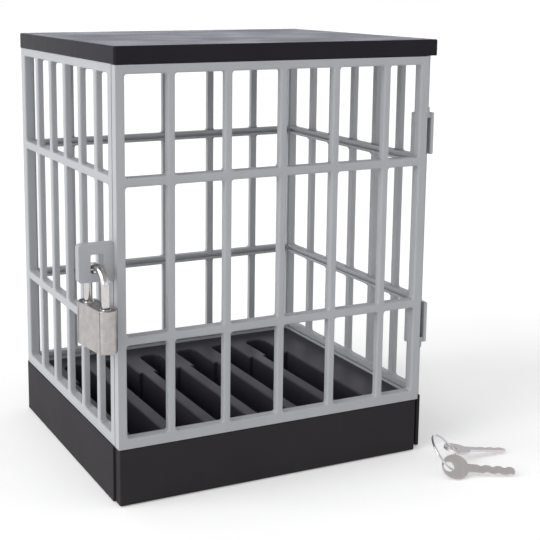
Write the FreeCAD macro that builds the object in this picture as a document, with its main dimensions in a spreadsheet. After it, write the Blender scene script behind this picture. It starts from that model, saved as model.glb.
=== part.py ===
import FreeCAD, Part
import math
import os
import re

import Sketcher

# A lockable barred box: a slotted base, four barred sides, a flat lid, a front door
# on pin hinges, a hasp, a small padlock and its two keys on a ring.
# X runs along the front, Y to the back, Z up; the origin is under the middle of the cage.

os.makedirs("parts", exist_ok=True)
doc = FreeCAD.newDocument("LockCage")
sheet = doc.addObject("Spreadsheet::Sheet", "Sizes")
filled_rows = []


def size(name, value):
    """Write one driving dimension, in millimetres or degrees, to the spreadsheet."""
    filled_rows.append(name)
    row = len(filled_rows)
    sheet.set("A%d" % row, name)
    sheet.set("B%d" % row, str(value))
    sheet.setAlias("B%d" % row, name)


# the whole cage
size("cage_width", 192)
size("cage_depth", 163)
size("cage_height", 240)
size("lid_height", 9)
size("lid_wall", 2.4)
size("liner_thickness", 2)
size("base_height", 31.8)
size("base_lift", 0.6)
size("base_wall", 2.4)

# the barred panels
size("grille_inset", 0.6)
size("frame_depth", 5.4)
size("bar_width", 4.2)
size("bar_thickness", 3.6)
size("corner_rounding", 1.5)
size("rail_height", 4.9)
size("rail_groove", 1.7)
size("rail_groove_depth", 1.3)
size("sill_height", 5.6)
size("lower_rail", 87.3)
size("upper_rail", 169.5)
size("head_bottom", 226.1)
size("wide_pitch", 32.2)
size("narrow_pitch", 25.2)
size("side_start", 6.2)
size("side_length", 156.2)
size("back_length", 180)
size("side_bar_start", 24.8)
size("mirror_bar_start", 30.6)
size("back_bar_start", 26.6)
size("side_post", 6)
size("back_post", 1)

# the door, its hinges and the hasp
size("door_left", 0.5)
size("door_width", 185.8)
size("door_depth", 5.2)
size("door_post", 5)
size("door_gap", 0.3)
size("door_bar_start", 30.1)
size("hinge_inset", 4)
size("hinge_back", 2.6)
size("hinge_low", 65.4)
size("hinge_high", 175.5)
size("hinge_leaf", 23.7)
size("leaf_thickness", 2.3)
size("leaf_front", 1.2)
size("knuckle_radius", 1.3)
size("knuckle_length", 3)
size("pin_reach", 2.9)
size("door_knuckle", 2.6)
size("knuckle_gap", 0.3)
size("pin_radius", 0.8)
size("pin_play", 0.05)
size("lug_width", 2.9)
size("lug_reach", 3.1)
size("lug_bevel", 2.8)
size("tab_length", 19.1)
size("tab_low", 121.8)
size("tab_height", 19.8)
size("tab_thickness", 2.2)
size("tab_front", 3.9)
size("tab_gap", 0.4)
size("tab_hole_width", 7.1)
size("tab_hole_start", 5.4)
size("tab_hole_low", 125.4)
size("tab_hole_height", 10.6)
size("swing_room", 0.6)

# the base
size("panel_left", 1.1)
size("panel_width", 184.2)
size("panel_front", 0.4)
size("panel_depth", 6.5)
size("shell_start", 7.6)
size("ledge_width", 6.2)
size("ledge_thickness", 2.5)
size("floor_thickness", 3)
size("head_recess", 2)
size("rack_front", 7.2)
size("slot_width", 18)
size("slot_pitch", 25.6)
size("slot_first", 14.4)
size("slot_front", 12)
size("slot_back", 141.5)
size("slot_step", 109.5)
size("slot_neck", 2.3)
size("slot_floor", 5)
size("slot_rounding", 4)
size("core_width", 4.6)
size("fixing_inset", 16)
size("screw_radius", 1.4)
size("screw_head", 2.8)
size("head_height", 1.2)
size("screw_length", 6.2)
size("screw_play", 0.1)
size("cross_width", 0.6)
size("cross_length", 2.6)
size("cross_depth", 0.7)

# the padlock
size("lock_half", 10.1)
size("lock_thickness", 10.6)
size("lock_height", 22.2)
size("lock_top", 110)
size("lock_turn", 8)
size("lock_side", -9)
size("lock_middle", 4)
size("shackle_radius", 2.2)
size("shackle_spread", 9.3)
size("shackle_rise", 10.2)
size("long_leg", 11)
size("short_leg", 6)
size("leg_play", 0.1)
size("rim_depth", 0.5)
size("rim_width", 0.9)
size("plug_radius", 3.7)
size("plug_length", 9)
size("keyway_width", 1.7)
size("keyway_length", 5.6)
size("bolt_radius", 1.6)
size("bolt_length", 4.6)

# the keys and their ring
size("bow_radius", 7.5)
size("bow_hole", 3)
size("key_thickness", 1.5)
size("shank_width", 5)
size("blade_length", 25)
size("notch_radius", 2.4)
size("notch_offset", 1.6)
size("notch_pitch", 6.5)
size("ring_radius", 11.4)
size("ring_wire", 0.65)
doc.recompute()


def linked(text):
    """Put the sheet's name before every dimension word of an expression."""
    return re.sub(r"\b[a-z]+(?:_[a-z]+)+\b", lambda word: "Sizes." + word.group(0), text)


def value(name):
    """Read one dimension back from the sheet as a float."""
    return float(sheet.get(name))


def new_body(name):
    """Start a sub-part with its own label."""
    body = doc.addObject("PartDesign::Body", name)
    body.Label = name
    return body


def place(part, x, y, z, turn=0):
    """Place a sub-part by expressions, turned by an angle about the vertical."""
    part.Placement = FreeCAD.Placement(
        FreeCAD.Vector(0, 0, 0), FreeCAD.Rotation(FreeCAD.Vector(0, 0, 1), turn)
    )
    part.setExpression(".Placement.Base.x", linked(x))
    part.setExpression(".Placement.Base.y", linked(y))
    part.setExpression(".Placement.Base.z", linked(z))


def sketch_on(body, plane, height="0"):
    """Attach an empty sketch to one of the body's own planes, moved along its normal."""
    sketch = body.newObject("Sketcher::SketchObject", "Sketch")
    for feature in body.Origin.OriginFeatures:
        if feature.Role == plane:
            sketch.AttachmentSupport = (feature, [""])
    sketch.MapMode = "FlatFace"
    if height != "0":
        sketch.setExpression("AttachmentOffset.Base.z", linked(height))
    return sketch


def measure(sketch, kind, parts, amount, text):
    """Add one dimension to a sketch and bind it to an expression."""
    index = sketch.addConstraint(Sketcher.Constraint(kind, *parts, amount))
    sketch.setExpression("Constraints[%d]" % index, linked(text))


def rectangle(sketch, left, low, width, height):
    """Draw an upright rectangle from its lower left corner, all four sizes bound."""
    first = sketch.GeometryCount
    corners = [FreeCAD.Vector(x, y, 0) for x, y in ((0, 0), (9, 0), (9, 9), (0, 9))]
    for side in range(4):
        line = Part.LineSegment(corners[side], corners[(side + 1) % 4])
        sketch.addGeometry(line, False)
    for side in range(4):
        following = first + (side + 1) % 4
        sketch.addConstraint(Sketcher.Constraint("Coincident", first + side, 2, following, 1))
    for side in (0, 2):
        sketch.addConstraint(Sketcher.Constraint("Horizontal", first + side))
        sketch.addConstraint(Sketcher.Constraint("Vertical", first + side + 1))
    measure(sketch, "DistanceX", (first, 1, first, 2), 9, width)
    measure(sketch, "DistanceY", (first + 1, 1, first + 1, 2), 9, height)
    measure(sketch, "DistanceX", (-1, 1, first, 1), 1, left)
    measure(sketch, "DistanceY", (-1, 1, first, 1), 1, low)


def rounded_rectangle(sketch, left, low, width, height, radius):
    """Draw an upright rectangle with four equal rounded corners, all sizes bound."""
    first = sketch.GeometryCount
    ends = (((2, 0), (8, 0)), ((10, 2), (10, 8)), ((8, 10), (2, 10)), ((0, 8), (0, 2)))
    for start, end in ends:
        line = Part.LineSegment(FreeCAD.Vector(*start, 0), FreeCAD.Vector(*end, 0))
        sketch.addGeometry(line, False)
    for corner, (x, y) in enumerate(((8, 2), (8, 8), (2, 8), (2, 2))):
        ring = Part.Circle(FreeCAD.Vector(x, y, 0), FreeCAD.Vector(0, 0, 1), 2)
        quarter = math.pi / 2 * (corner - 1)
        sketch.addGeometry(Part.ArcOfCircle(ring, quarter, quarter + math.pi / 2), False)
    for side in range(4):
        arc = first + 4 + side
        following = first + (side + 1) % 4
        sketch.addConstraint(Sketcher.Constraint("Tangent", first + side, 2, arc, 1))
        sketch.addConstraint(Sketcher.Constraint("Tangent", arc, 2, following, 1))
    for side in (0, 2):
        sketch.addConstraint(Sketcher.Constraint("Horizontal", first + side))
        sketch.addConstraint(Sketcher.Constraint("Vertical", first + side + 1))
    for arc in (5, 6, 7):
        sketch.addConstraint(Sketcher.Constraint("Equal", first + 4, first + arc))
    measure(sketch, "Radius", (first + 4,), 2, radius)
    measure(sketch, "DistanceX", (first, 1, first, 2), 6, "(%s) - 2 * %s" % (width, radius))
    measure(sketch, "DistanceY", (first + 1, 1, first + 1, 2), 6, "(%s) - 2 * %s" % (height, radius))
    measure(sketch, "DistanceX", (-1, 1, first, 1), 2, "(%s) + %s" % (left, radius))
    measure(sketch, "DistanceY", (-1, 1, first, 1), 1, low)


def circle(sketch, x, y, radius):
    """Draw a circle with its centre and radius bound."""
    outline = Part.Circle(FreeCAD.Vector(3, 3, 0), FreeCAD.Vector(0, 0, 1), 1)
    number = sketch.addGeometry(outline, False)
    measure(sketch, "Radius", (number,), 1, radius)
    measure(sketch, "DistanceX", (-1, 1, number, 3), 3, x)
    measure(sketch, "DistanceY", (-1, 1, number, 3), 3, y)


def pad(body, sketch, length, backwards=False):
    """Raise a sketch by a bound length."""
    feature = body.newObject("PartDesign::Pad", "Pad")
    feature.Profile = sketch
    feature.setExpression("Length", linked(length))
    feature.Reversed = backwards
    sketch.Visibility = False
    doc.recompute()
    return feature


def pocket(body, sketch, length, backwards=False):
    """Cut a sketch into the body by a bound depth and make sure that something went."""
    before = body.Shape.Volume
    feature = body.newObject("PartDesign::Pocket", "Pocket")
    feature.Refine = False
    feature.Profile = sketch
    feature.setExpression("Length", linked(length))
    feature.Reversed = backwards
    sketch.Visibility = False
    doc.recompute()
    if not before - feature.Shape.Volume > 1e-3:
        raise RuntimeError("%s: a pocket cuts nothing" % body.Label)
    return feature


def repeat(body, feature, sketch, axis, pitch, count):
    """Repeat a feature along an axis of its sketch."""
    pattern = body.newObject("PartDesign::LinearPattern", "Repeat")
    pattern.Refine = False
    pattern.Originals = [feature]
    pattern.Direction = (sketch, [axis])
    pattern.setExpression("Length", linked("(%s) * %d" % (pitch, count - 1)))
    pattern.Occurrences = count
    body.Tip = pattern
    doc.recompute()
    return pattern


def soften(body, edges, radius):
    """Round chosen edges of the body's last feature."""
    base = body.Tip
    fillet = body.newObject("PartDesign::Fillet", "Fillet")
    fillet.Base = (base, edges)
    fillet.setExpression("Radius", linked(radius))
    body.Tip = fillet
    doc.recompute()
    return fillet


def box_pad(body, plane, height, corner, extent, length, backwards=False):
    """Raise a rectangle, given by its corner and its two sides, from a plane."""
    sketch = sketch_on(body, plane, height)
    rectangle(sketch, corner[0], corner[1], extent[0], extent[1])
    return pad(body, sketch, length, backwards)


def box_pocket(body, plane, height, corner, extent, length, backwards=False):
    """Cut a rectangle, given by its corner and its two sides, from a plane."""
    sketch = sketch_on(body, plane, height)
    rectangle(sketch, corner[0], corner[1], extent[0], extent[1])
    return pocket(body, sketch, length, backwards)


def round_pad(body, height, centre, radius, length, backwards=False):
    """Raise an upright cylinder from the level plane."""
    sketch = sketch_on(body, "XY_Plane", height)
    circle(sketch, centre[0], centre[1], radius)
    return pad(body, sketch, length, backwards)


def round_pocket(body, height, centre, radius, length, backwards=False):
    """Cut an upright cylinder from the level plane."""
    sketch = sketch_on(body, "XY_Plane", height)
    circle(sketch, centre[0], centre[1], radius)
    return pocket(body, sketch, length, backwards)


def chosen_edges(body, test):
    """Name the edges of the body's last feature whose bounding box passes a test."""
    names = []
    for number, edge in enumerate(body.Tip.Shape.Edges):
        if test(edge.BoundBox):
            names.append("Edge%d" % (number + 1))
    return names


def near(first, second):
    """Tell whether two lengths agree."""
    return abs(first - second) < 0.02


def grille(name, width, posts, top, bar_start, pitch, bars, depth):
    """Build one barred panel: outer face at y = 0, x along its width, z as in the cage."""
    body = new_body(name)
    box_pad(body, "XZ_Plane", "0", ("0", "base_height"), (width, "%s - base_height" % top), depth, True)
    first_post, last_post = posts
    rows = (
        ("base_height + sill_height", "lower_rail"),
        ("lower_rail + rail_height", "upper_rail"),
        ("upper_rail + rail_height", "head_bottom"),
    )
    first_gap = "%s - bar_width / 2 - (%s)" % (bar_start, first_post)
    first_bar = "%s + bar_width / 2" % bar_start
    last_bar = "%s + %s * %d + bar_width / 2" % (bar_start, pitch, bars - 1)
    last_gap = "(%s) - (%s) - (%s)" % (width, last_post, last_bar)
    for low, high in rows:
        tall = "%s - (%s)" % (high, low)
        for left, wide in ((first_post, first_gap), (last_bar, last_gap)):
            sketch = sketch_on(body, "XZ_Plane")
            rounded_rectangle(sketch, left, low, wide, tall, "corner_rounding")
            pocket(body, sketch, depth)
        sketch = sketch_on(body, "XZ_Plane")
        rounded_rectangle(sketch, first_bar, low, "%s - bar_width" % pitch, tall, "corner_rounding")
        repeat(body, pocket(body, sketch, depth), sketch, "H_Axis", pitch, bars - 1)

    # the bars are thinner than the frame, and the rails have a groove along their inner face
    inner_face = "-(%s)" % depth
    clear = "(%s) - (%s) - (%s)" % (width, first_post, last_post)
    for low, high in rows:
        tall = "%s - (%s)" % (high, low)
        cut = "(%s) - bar_thickness" % depth
        box_pocket(body, "XZ_Plane", inner_face, (first_post, low), (clear, tall), cut, True)
    for low in ("base_height", "lower_rail", "upper_rail"):
        groove_low = "%s + (rail_height - rail_groove) / 2" % low
        corner = ("(%s) + 1" % first_post, groove_low)
        extent = ("(%s) - 2" % clear, "rail_groove")
        box_pocket(body, "XZ_Plane", inner_face, corner, extent, "rail_groove_depth", True)

    return body


def knuckle(body, low, centre, radius, length, web_corner, web_extent, bore):
    """Add one hinge knuckle with the web that carries it, and bore it for the pin."""
    round_pad(body, low, centre, radius, length)
    box_pad(body, "XY_Plane", low, web_corner, web_extent, length)
    round_pocket(body, "%s + %s + 1" % (low, length), centre, bore, "%s + 2" % length)


# door: one moulding with its tab, two rear lugs and two hinge knuckles
door = grille(
    "door_grille", "door_width", ("door_post", "door_post"),
    "cage_height - lid_height - door_gap", "door_bar_start", "wide_pitch", 5, "door_depth",
)
box_pad(
    door, "XZ_Plane", "-tab_front", ("-tab_length", "tab_low"),
    ("tab_length + 2", "tab_height"), "tab_thickness", True,
)
hole_left = "-tab_hole_start - tab_hole_width"
box_pocket(
    door, "XZ_Plane", "-tab_front + 1", (hole_left, "tab_hole_low + 0.9"),
    ("tab_hole_width", "tab_hole_height - 0.9"), "tab_thickness + 2",
)
for low in ("hinge_low", "hinge_high"):
    box_pad(
        door, "YZ_Plane", "door_width - door_post - 0.2", ("door_depth - 1", low),
        ("lug_reach + 1", "hinge_leaf"), "lug_width",
    )
hinge_x = "cage_width - hinge_inset - door_left"
knuckle_lows = ("hinge_low - knuckle_gap - door_knuckle", "hinge_high + hinge_leaf + knuckle_gap")
for low in knuckle_lows:
    knuckle(
        door, low, (hinge_x, "hinge_back"), "knuckle_radius", "door_knuckle",
        ("door_width - 1", "hinge_back - 1"), ("%s - door_width + 1 - 0.6" % hinge_x, "2"), "pin_radius",
    )


def is_lug_corner(box):
    """Tell a rear lug's lowest back edge from the others."""
    back = near(box.YMin, value("door_depth") + value("lug_reach")) and near(box.YLength, 0)
    low = near(box.ZMin, value("hinge_low")) or near(box.ZMin, value("hinge_high"))
    return back and low and near(box.ZLength, 0)


lug_chamfer = door.newObject("PartDesign::Chamfer", "Chamfer")
lug_chamfer.Base = (door.Group[-2], [])
door.Tip = door.Group[-2]
lug_chamfer.Base = (door.Tip, chosen_edges(door, is_lug_corner))
lug_chamfer.setExpression("Size", linked("lug_bevel"))
door.Tip = lug_chamfer
doc.recompute()
place(door, "door_left - cage_width / 2", "-cage_depth / 2", "0")

# left side, with the hasp's fixed tab
left = grille(
    "left_grille", "side_length", ("grille_inset + frame_depth", "side_post"),
    "cage_height - lid_height", "mirror_bar_start", "narrow_pitch", 5, "frame_depth",
)
tab_back = "cage_depth - grille_inset - tab_front - 2 * tab_thickness - tab_gap"
box_pad(
    left, "YZ_Plane", tab_back, ("-tab_length - 0.1", "tab_low"),
    ("tab_length + 1", "tab_height"), "tab_thickness",
)
fixed_hole = ("-tab_hole_start - 0.1 - tab_hole_width - swing_room", "tab_hole_low")
box_pocket(
    left, "YZ_Plane", "%s + tab_thickness + 0.5" % tab_back, fixed_hole,
    ("tab_hole_width + swing_room", "tab_hole_height"), "tab_thickness + 1",
)
place(left, "grille_inset - cage_width / 2", "cage_depth / 2 - grille_inset", "0", -90)

# right side, with the two hinge leaves and their knuckles
right = grille(
    "right_grille", "side_length", ("side_post", "grille_inset + frame_depth"),
    "cage_height - lid_height", "side_bar_start", "narrow_pitch", 5, "frame_depth",
)
leaf_y = "-grille_inset"
pin_x = "hinge_back - side_start"
pin_y = "hinge_inset - grille_inset"
for low in ("hinge_low", "hinge_high"):
    box_pad(
        right, "XY_Plane", low, ("leaf_front - side_start", leaf_y),
        ("side_start - leaf_front + 2", "leaf_thickness"), "hinge_leaf",
    )
for low in ("hinge_low", "hinge_high + hinge_leaf - knuckle_length"):
    knuckle(
        right, low, (pin_x, pin_y), "knuckle_radius", "knuckle_length",
        ("%s - 0.8" % pin_x, "leaf_thickness - grille_inset - 0.5"),
        ("1.6", "%s - leaf_thickness + grille_inset + 0.5 - 0.6" % pin_y), "pin_radius + pin_play",
    )


def is_leaf_front(box):
    """Tell the upright front edges of the hinge leaves from the others."""
    return near(box.XMax, value("leaf_front") - value("side_start")) and box.ZLength > 9


soften(right, chosen_edges(right, is_leaf_front), "pin_radius")
place(right, "cage_width / 2 - grille_inset", "side_start - cage_depth / 2", "0", 90)

# back side, between the two side panels' rear posts
back = grille(
    "back_grille", "back_length", ("back_post", "back_post"),
    "cage_height - lid_height", "back_bar_start", "wide_pitch", 5, "frame_depth",
)
place(back, "cage_width / 2 - grille_inset - frame_depth", "cage_depth / 2 - grille_inset", "0", 180)

# hinge pins: pressed into the door's knuckles and turning in the side panel's
pin_lows = (knuckle_lows[0], "%s - pin_reach" % knuckle_lows[1])
for name, low in zip(("lower_hinge_pin", "upper_hinge_pin"), pin_lows):
    pin = doc.addObject("Part::Cylinder", name)
    pin.Label = name
    pin.setExpression("Radius", linked("pin_radius"))
    pin.setExpression("Height", linked("door_knuckle + pin_reach"))
    place(pin, "cage_width / 2 - hinge_inset", "hinge_back - cage_depth / 2", low)

# lid: a shallow cap with screw bosses, closed below by a liner
lid = new_body("lid_top")
box_pad(
    lid, "XY_Plane", "cage_height - lid_height", ("0", "0"), ("cage_width", "cage_depth"), "lid_height",
)
box_pocket(
    lid, "XY_Plane", "cage_height - lid_height", ("lid_wall", "lid_wall"),
    ("cage_width - 2 * lid_wall", "cage_depth - 2 * lid_wall"), "lid_height - lid_wall", True,
)
corners = [
    (x, y)
    for x in ("fixing_inset", "cage_width - fixing_inset")
    for y in ("fixing_inset", "cage_depth - fixing_inset")
]
boss_low = "cage_height - lid_height + liner_thickness"
for corner in corners:
    round_pad(lid, boss_low, corner, "screw_head + 0.6", "lid_height - liner_thickness - 1")
for corner in corners:
    round_pocket(lid, boss_low, corner, "screw_radius + screw_play", "4.4", True)
place(lid, "-cage_width / 2", "-cage_depth / 2", "0")

liner = new_body("lid_liner")
box_pad(
    liner, "XY_Plane", "cage_height - lid_height", ("lid_wall + 0.1", "lid_wall + 0.1"),
    ("cage_width - 2 * lid_wall - 0.2", "cage_depth - 2 * lid_wall - 0.2"), "liner_thickness",
)
for corner in corners:
    round_pocket(
        liner, "cage_height - lid_height", corner, "screw_radius + screw_play", "liner_thickness", True
    )
place(liner, "-cage_width / 2", "-cage_depth / 2", "0")

# base: a shell open in front and below, with a ledge that carries the side panels
shell = new_body("base_shell")
box_pad(
    shell, "XY_Plane", "base_lift", ("0", "shell_start"),
    ("cage_width", "cage_depth - shell_start"), "base_height - base_lift",
)
box_pad(
    shell, "XY_Plane", "base_lift", ("cage_width - base_wall", "shell_start - 2.3"),
    ("base_wall", "3"), "base_height - base_lift",
)
box_pocket(
    shell, "XY_Plane", "base_lift", ("base_wall", "shell_start - 1"),
    ("cage_width - 2 * base_wall", "cage_depth - base_wall - shell_start + 1"),
    "base_height - base_lift - ledge_thickness", True,
)
box_pocket(
    shell, "XY_Plane", "base_height", ("ledge_width", "shell_start - 1"),
    ("cage_width - 2 * ledge_width", "cage_depth - ledge_width - shell_start + 1"), "ledge_thickness + 1",
)
place(shell, "-cage_width / 2", "-cage_depth / 2", "0")

# base front panel: a face with a top and two end walls, standing over the floor's front
panel = new_body("base_front_panel")
box_pad(
    panel, "XY_Plane", "base_lift", ("panel_left", "panel_front"),
    ("panel_width", "panel_depth"), "base_height - door_gap - base_lift",
)
box_pocket(
    panel, "XY_Plane", "base_lift", ("panel_left + base_wall", "panel_front + base_wall"),
    ("panel_width - 2 * base_wall", "panel_depth"), "base_height - door_gap - base_lift - base_wall", True,
)
place(panel, "-cage_width / 2", "-cage_depth / 2", "0")

# rack: six wells for flat things to stand in, each narrower towards the back
rack = new_body("slotted_rack")
box_pad(
    rack, "XY_Plane", "floor_thickness", ("ledge_width + 0.1", "rack_front"),
    ("cage_width - 2 * ledge_width - 0.2", "cage_depth - ledge_width - rack_front - 0.1"),
    "base_height - floor_thickness",
)
well = sketch_on(rack, "XY_Plane", "base_height")
rounded_rectangle(
    well, "slot_first", "slot_front", "slot_width", "slot_step - slot_front", "corner_rounding",
)
repeat(rack, pocket(rack, well, "base_height - slot_floor"), well, "H_Axis", "slot_pitch", 6)
neck = sketch_on(rack, "XY_Plane", "base_height")
rounded_rectangle(
    neck, "slot_first + slot_neck", "slot_step - 2 * slot_rounding", "slot_width - 2 * slot_neck",
    "slot_back - slot_step + 2 * slot_rounding", "slot_rounding",
)
repeat(rack, pocket(rack, neck, "base_height - slot_floor"), neck, "H_Axis", "slot_pitch", 6)
core = sketch_on(rack, "XY_Plane", "floor_thickness")
rectangle(
    core, "slot_first + slot_width + (slot_pitch - slot_width - core_width) / 2", "slot_front + 2",
    "core_width", "slot_back - slot_front",
)
core_cut = pocket(rack, core, "base_height - floor_thickness - ledge_thickness", True)
repeat(rack, core_cut, core, "H_Axis", "slot_pitch", 5)
screw_places = [
    (x, y)
    for x in ("ledge_width + 4.1", "cage_width - 1.5 * fixing_inset")
    for y in ("fixing_inset + 6", "cage_depth - fixing_inset - 5")
]
for spot in screw_places:
    round_pocket(rack, "floor_thickness", spot, "screw_radius + screw_play", "6", True)
place(rack, "-cage_width / 2", "-cage_depth / 2", "0")

# base floor: the flat plate that the box stands on, with a tongue under the front panel
plate = new_body("base_floor")
box_pad(
    plate, "XY_Plane", "0", ("base_wall + 0.1", "shell_start + 0.1"),
    ("cage_width - 2 * base_wall - 0.2", "cage_depth - base_wall - shell_start - 0.2"), "floor_thickness",
)
box_pad(
    plate, "XY_Plane", "0",
    ("panel_left + base_wall + 0.1", "panel_front + base_wall + 0.1"),
    ("panel_width - 2 * base_wall - 0.2", "shell_start - panel_front - base_wall + 1"), "floor_thickness",
)
for spot in screw_places:
    round_pocket(plate, "0", spot, "screw_head + 0.2", "head_recess", True)
for spot in screw_places:
    round_pocket(plate, "0", spot, "screw_radius + screw_play", "floor_thickness + 1", True)
place(plate, "-cage_width / 2", "-cage_depth / 2", "0")


def screw(name, x, y, z):
    """Make one pan-head screw, head down, with a cross recess."""
    body = new_body(name)
    round_pad(body, "0", ("0", "0"), "screw_head", "head_height")
    round_pad(body, "head_height - 0.2", ("0", "0"), "screw_radius", "screw_length + 0.2")
    for wide, tall in (("cross_width", "cross_length"), ("cross_length", "cross_width")):
        box_pocket(
            body, "XY_Plane", "0", ("-%s / 2" % wide, "-%s / 2" % tall), (wide, tall), "cross_depth", True
        )
    place(body, "(%s) - cage_width / 2" % x, "(%s) - cage_depth / 2" % y, z)
    return body


for number, (x, y) in enumerate(corners):
    screw("lid_screw_%d" % (number + 1), x, y, "cage_height - lid_height - head_height")
for number, (x, y) in enumerate(screw_places):
    screw("base_screw_%d" % (number + 1), x, y, "head_recess - head_height")


def place_lock(part):
    """Hang a piece of the padlock in the hasp, turned a little towards the front."""
    place(part, "lock_side - cage_width / 2", "lock_middle - cage_depth / 2", "lock_top", value("lock_turn"))


# padlock case: a round-ended block with two shackle holes, a plug bore and a bolt bore
case = new_body("padlock_case")
half = "lock_thickness / 2"
box_pad(
    case, "XY_Plane", "0", ("-%s" % half, "-lock_half"),
    ("lock_thickness", "2 * lock_half"), "lock_height", True,
)
for end in ("-lock_half", "lock_half"):
    round_pad(case, "0", ("0", end), half, "lock_height", True)
inner = "%s - rim_width" % half
box_pocket(
    case, "XY_Plane", "0", ("-(%s)" % inner, "-lock_half"),
    ("2 * (%s)" % inner, "2 * lock_half"), "rim_depth",
)
for end in ("-lock_half", "lock_half"):
    round_pocket(case, "0", ("0", end), inner, "rim_depth")
round_pocket(case, "0", ("0", "-shackle_spread"), "shackle_radius + leg_play", "short_leg + 0.8")
round_pocket(case, "0", ("0", "shackle_spread"), "shackle_radius + leg_play", "long_leg + 5")
round_pocket(case, "-lock_height", ("0", "0"), "plug_radius + pin_play", "plug_length + 0.2", True)
bolt_bore = sketch_on(case, "XZ_Plane", "shackle_spread")
circle(bolt_bore, "0", "-4.2", "bolt_radius + leg_play")
pocket(case, bolt_bore, "shackle_spread - 2")
place_lock(case)

# shackle: a long and a short leg joined by a half ring
long_leg = doc.addObject("Part::Cylinder", "LongLeg")
short_leg = doc.addObject("Part::Cylinder", "ShortLeg")
legs = ((long_leg, "long_leg", "shackle_spread"), (short_leg, "short_leg", "-shackle_spread"))
for leg, length, side in legs:
    leg.setExpression("Radius", linked("shackle_radius"))
    leg.setExpression("Height", linked("%s + shackle_rise" % length))
    place(leg, "0", side, "-%s" % length)
arch = doc.addObject("Part::Torus", "Arch")
arch.setExpression("Radius1", linked("shackle_spread"))
arch.setExpression("Radius2", linked("shackle_radius"))
arch.Angle3 = 180
arch.Placement = FreeCAD.Placement(
    FreeCAD.Vector(0, 0, 0), FreeCAD.Rotation(FreeCAD.Vector(1, 1, 1), 120)
)
arch.setExpression(".Placement.Base.z", linked("shackle_rise"))
shackle = doc.addObject("Part::MultiFuse", "padlock_shackle")
shackle.Label = "padlock_shackle"
shackle.Shapes = [long_leg, short_leg, arch]
shackle.Refine = True
place_lock(shackle)

# lock plug with its keyway, turned by the key from below
plug = new_body("padlock_plug")
round_pad(plug, "-lock_height", ("0", "0"), "plug_radius", "plug_length")
box_pocket(
    plug, "XY_Plane", "-lock_height", ("-keyway_width / 2", "-keyway_length / 2"),
    ("keyway_width", "keyway_length"), "plug_length - 2", True,
)
place_lock(plug)

# bolt that catches the short leg, drawn back in its bore
bolt = new_body("padlock_bolt")
bolt_face = sketch_on(bolt, "XZ_Plane", "shackle_spread - 2.6")
circle(bolt_face, "0", "-4.2", "bolt_radius")
pad(bolt, bolt_face, "bolt_length", True)
place_lock(bolt)

# spring under the long leg, a plain coil
coil_radius = value("shackle_radius") - 0.75
wire = 0.35
coil = Part.makeHelix(0.95, 3.8, coil_radius)
section = Part.Wire(
    Part.makeCircle(wire, FreeCAD.Vector(coil_radius, 0, 0), FreeCAD.Vector(0, 1, 0))
)
spring_shape = Part.Wire(coil.Edges).makePipeShell([section], True, True)
spring = doc.addObject("Part::Feature", "padlock_spring")
spring.Label = "padlock_spring"
depth_below = value("long_leg") + 5 - 0.5
turned = FreeCAD.Rotation(FreeCAD.Vector(0, 0, 1), value("lock_turn"))
seat = turned.multVec(FreeCAD.Vector(0, value("shackle_spread"), -depth_below))
spring.Shape = spring_shape
spring.Placement = FreeCAD.Placement(
    seat + FreeCAD.Vector(
        value("lock_side") - value("cage_width") / 2,
        value("lock_middle") - value("cage_depth") / 2,
        value("lock_top"),
    ),
    turned,
)


def make_key(name):
    """Cut one flat key: a round bow with a hole, a shank and a notched blade along +X."""
    body = new_body(name)
    round_pad(body, "0", ("0", "0"), "bow_radius", "key_thickness")
    box_pad(
        body, "XY_Plane", "0", ("bow_radius - 1.5", "-shank_width / 2"),
        ("blade_length", "shank_width"), "key_thickness",
    )
    round_pocket(body, "key_thickness", ("-3.6", "0"), "bow_hole", "key_thickness")
    round_pad(body, "0", ("bow_radius - 1.5 + blade_length", "0"), "shank_width / 2", "key_thickness")
    for start, side in (("7", "1"), ("10.2", "-1")):
        notch = sketch_on(body, "XY_Plane", "key_thickness")
        reach = "%s * (shank_width / 2 + notch_offset)" % side
        circle(notch, "bow_radius + %s" % start, reach, "notch_radius")
        cut = pocket(body, notch, "key_thickness")
        repeat(body, cut, notch, "H_Axis", "notch_pitch", 3)
    return body


def lay(part, place_at, along, up):
    """Lay a flat piece so that its X runs along one direction and its face looks another way."""
    side = up.cross(along)
    part.Placement = FreeCAD.Placement(place_at, FreeCAD.Rotation(along, side, up, "XZY"))


corner = FreeCAD.Vector(-value("cage_width") / 2, -value("cage_depth") / 2, 0)
ring_along = FreeCAD.Vector(0.65, -0.23, -0.72).normalize()
ring_across = FreeCAD.Vector(0.533, 0.814, 0.235)
ring_across = (ring_across - ring_along * ring_across.dot(ring_along)).normalize()
ring_centre = corner + FreeCAD.Vector(186, -29.2, 9.8)


def ring_point(angle):
    """Give the point of the ring's centre line at an angle in degrees."""
    turn = math.radians(angle)
    reach = ring_along * math.cos(turn) + ring_across * math.sin(turn)
    return ring_centre + reach * value("ring_radius")


ring = doc.addObject("Part::Torus", "key_ring")
ring.Label = "key_ring"
ring.setExpression("Radius1", linked("ring_radius"))
ring.setExpression("Radius2", linked("ring_wire"))
lay(ring, ring_centre, ring_along, ring_along.cross(ring_across))


def key_on_ring(name, angle, tip, tilt):
    """Thread one key on the ring at an angle, its tip at a point, tilted about its length."""
    hole = ring_point(angle)
    along = (tip - hole).normalize()
    level = FreeCAD.Vector(0, 0, 1).cross(along).normalize()
    face = along.cross(level)
    turned_face = FreeCAD.Rotation(along, tilt).multVec(face)
    key = make_key(name)
    lay(key, hole + along * 3.6 - turned_face * (value("key_thickness") / 2), along, turned_face)
    return key


first_key = key_on_ring("first_key", 60, corner + FreeCAD.Vector(234.2, -24.8, 1.2), 0)
second_key = key_on_ring("second_key", -80, corner + FreeCAD.Vector(213.5, -53.5, 2.9), 42)

doc.recompute()

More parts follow.
